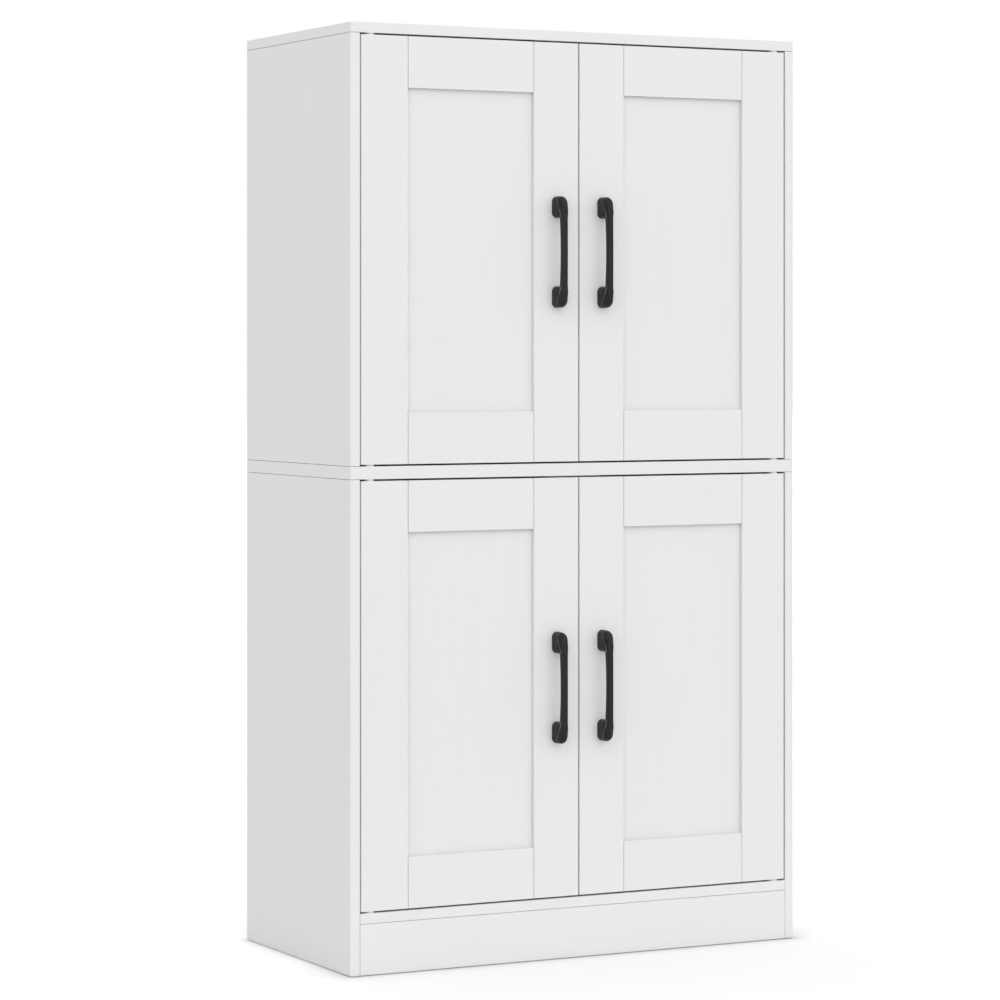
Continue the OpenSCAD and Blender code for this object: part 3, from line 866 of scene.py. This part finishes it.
def make_room():
    """Pale room, a little lighter above, in front of a plain white backdrop."""
    world = bpy.data.worlds.new("Studio")
    bpy.context.scene.world = world
    world.use_nodes = True
    tree = world.node_tree
    tree.nodes.clear()
    output = tree.nodes.new("ShaderNodeOutputWorld")
    room = tree.nodes.new("ShaderNodeBackground")
    sweep = tree.nodes.new("ShaderNodeBackground")
    sweep.inputs["Strength"].default_value = 1.0
    direction = tree.nodes.new("ShaderNodeTexCoord")
    height = tree.nodes.new("ShaderNodeSeparateXYZ")
    climb = tree.nodes.new("ShaderNodeMapRange")
    climb.inputs["To Min"].default_value = ROOM_LOW
    climb.inputs["To Max"].default_value = ROOM_HIGH
    tree.links.new(direction.outputs["Generated"], height.inputs[0])
    tree.links.new(height.outputs["Z"], climb.inputs["Value"])
    tree.links.new(climb.outputs[0], room.inputs["Strength"])
    blend = tree.nodes.new("ShaderNodeMixShader")
    path = tree.nodes.new("ShaderNodeLightPath")
    tree.links.new(path.outputs["Is Camera Ray"], blend.inputs[0])
    tree.links.new(room.outputs[0], blend.inputs[1])
    tree.links.new(sweep.outputs[0], blend.inputs[2])
    tree.links.new(blend.outputs[0], output.inputs[0])
    for node in (room, sweep):
        node.inputs["Color"].default_value = (1, 1, 1, 1)
    bpy.context.scene.view_settings.view_transform = "Standard"


def beyond(g, place, axis, low, high):
    """Distance along one axis from the nearer of two levels, and 0 between them."""
    away = g.math("ABSOLUTE", g.math("SUBTRACT", place.outputs[axis], (low + high) / 2))
    return g.math("MAXIMUM", g.math("SUBTRACT", away, (high - low) / 2), 0.0)


def make_floor():
    """Pale floor with painted light and shade: a pool of soft shade in front, a painted glow further off, a
    painted contact shadow at the cabinet's foot, and lighter bounce near it.
    """
    bm = bmesh.new()
    bmesh.ops.create_grid(bm, x_segments=1, y_segments=1, size=FLOOR_HALF_M)
    g = Graph("Pale floor")
    place = g.add("ShaderNodeSeparateXYZ")
    g.link(g.place(), place.inputs[0])
    low, high = footprint
    sideways = beyond(g, place, "X", low.x, high.x)
    forward = beyond(g, place, "Y", low.y, high.y)
    squares = [g.math("POWER", distance, 2.0) for distance in (sideways, forward)]
    reach = g.math("SQRT", g.math("ADD", *squares))
    fading = g.math("EXPONENT", g.math("DIVIDE", reach, -CONTACT_REACH))
    # Painted contact shadow: the floor darkens close to the cabinet's footprint.
    painted_contact_shadow = g.math("MULTIPLY", fading, CONTACT_SHADE)
    seen = g.add("ShaderNodeLightPath").outputs["Is Camera Ray"]
    behind = g.math("SUBTRACT", place.outputs["Y"], low.y)
    ahead = g.math("SUBTRACT", g.math("MULTIPLY", behind, -1.0), POOL_DEPTH)
    away = g.math("MAXIMUM", g.math("MAXIMUM", sideways, behind), ahead)
    # Painted glow for the camera: the floor whitens away from the cabinet, but not in the pool in front.
    open_floor = g.span(away, 0.0, PAINTED_GLOW_REACH)
    far = g.span(reach, BOUNCE_NEAR_M, BOUNCE_FAR_M)
    # Painted light: the floor throws back more light near the cabinet.
    bounce = g.colour(far, (NEAR_BOUNCE,) * 3, (FLOOR_BOUNCE,) * 3)
    plain = g.colour(seen, bounce, (FLOOR_TONE,) * 3)
    painted_glow = g.math("MULTIPLY", g.math("MULTIPLY", open_floor, seen), FLOOR_PAINTED_GLOW)
    g.set(
        Base_Color=g.colour(painted_contact_shadow, plain, BLACK), Roughness=0.9, Specular_IOR_Level=0.0,
        Emission_Color=(1.0, 1.0, 1.0), Emission_Strength=painted_glow,
    )
    floor = new_piece("floor", bm, [g.material])


LENS_MM = 130.16
SENSOR_MM = 36
LENS_SHIFT = -0.1522
CAMERA_AT = (-2.0720, -3.9053, 0.7244)
CAMERA_TURN = math.radians(-27.559)


def make_camera():
    """Level camera to the front left, a little above the middle of the cabinet."""
    data = bpy.data.cameras.new("Camera")
    data.lens = LENS_MM
    data.sensor_width = SENSOR_MM
    data.shift_y = LENS_SHIFT
    camera = bpy.data.objects.new("Camera", data)
    camera.location = CAMERA_AT
    camera.rotation_euler = (math.radians(90), 0, CAMERA_TURN)
    bpy.context.scene.collection.objects.link(camera)
    bpy.context.scene.camera = camera


make_room()
make_key_light()
make_floor()
make_camera()
